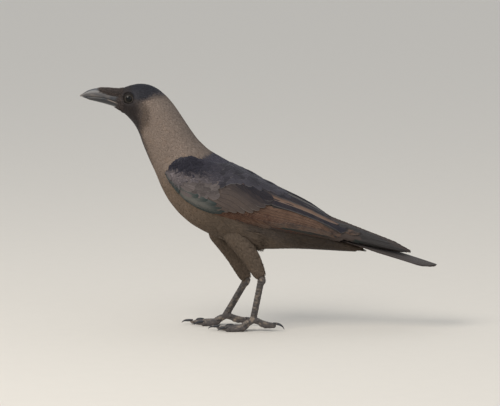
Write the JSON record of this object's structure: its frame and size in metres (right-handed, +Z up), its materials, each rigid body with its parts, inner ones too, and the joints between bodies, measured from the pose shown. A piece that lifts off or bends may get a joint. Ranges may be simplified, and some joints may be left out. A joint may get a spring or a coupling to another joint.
{
  "type": "house crow, standing",
  "caption": "Life-size standing house crow with folded wings and a closed bill, seen in its plumage; a still model with no joints.",
  "frame": {"origin": "on the floor, midway between the tip of the bill and the tip of the tail, in the plane that parts the crow's left from its right", "axes": "the crow faces -X; -Y is its left side; +Z is up"},
  "size_m": [0.357, 0.077, 0.2461],
  "materials": {
    "plumage_black": "glossy blue-black feathers",
    "plumage_grey": "matt drab-grey feathers",
    "plumage_brown": "matt grey-brown feathers",
    "wing_feathers": "worn dark flight feathers with a blue-green gloss on the coverts",
    "bill_horn": "polished dark horn",
    "claw_horn": "dark horn",
    "leg_skin": "dusty scaled skin",
    "eye": "wet, near-black brown"
  },
  "bodies": {
    "root": {"head": "plumage_black", "neck": "plumage_grey", "trunk": "plumage_brown", "tail": "wing_feathers", "nasal_bristles": "plumage_black", "eye_left": "eye", "eye_right": "eye", "bill_upper": "bill_horn", "bill_lower": "bill_horn", "wing_left_coverts": "wing_feathers", "wing_left_secondaries": "wing_feathers", "wing_left_primaries": "wing_feathers", "wing_right_coverts": "wing_feathers", "wing_right_secondaries": "wing_feathers", "wing_right_primaries": "wing_feathers", "thigh_left": "plumage_brown", "thigh_right": "plumage_brown", "tarsus_left": "leg_skin", "tarsus_right": "leg_skin", "toe_left_1": "leg_skin", "toe_left_2": "leg_skin", "toe_left_3": "leg_skin", "toe_left_4": "leg_skin", "toe_right_1": "leg_skin", "toe_right_2": "leg_skin", "toe_right_3": "leg_skin", "toe_right_4": "leg_skin", "claw_left_1": "claw_horn", "claw_left_2": "claw_horn", "claw_left_3": "claw_horn", "claw_left_4": "claw_horn", "claw_right_1": "claw_horn", "claw_right_2": "claw_horn", "claw_right_3": "claw_horn", "claw_right_4": "claw_horn"}
  },
  "joints": []
}
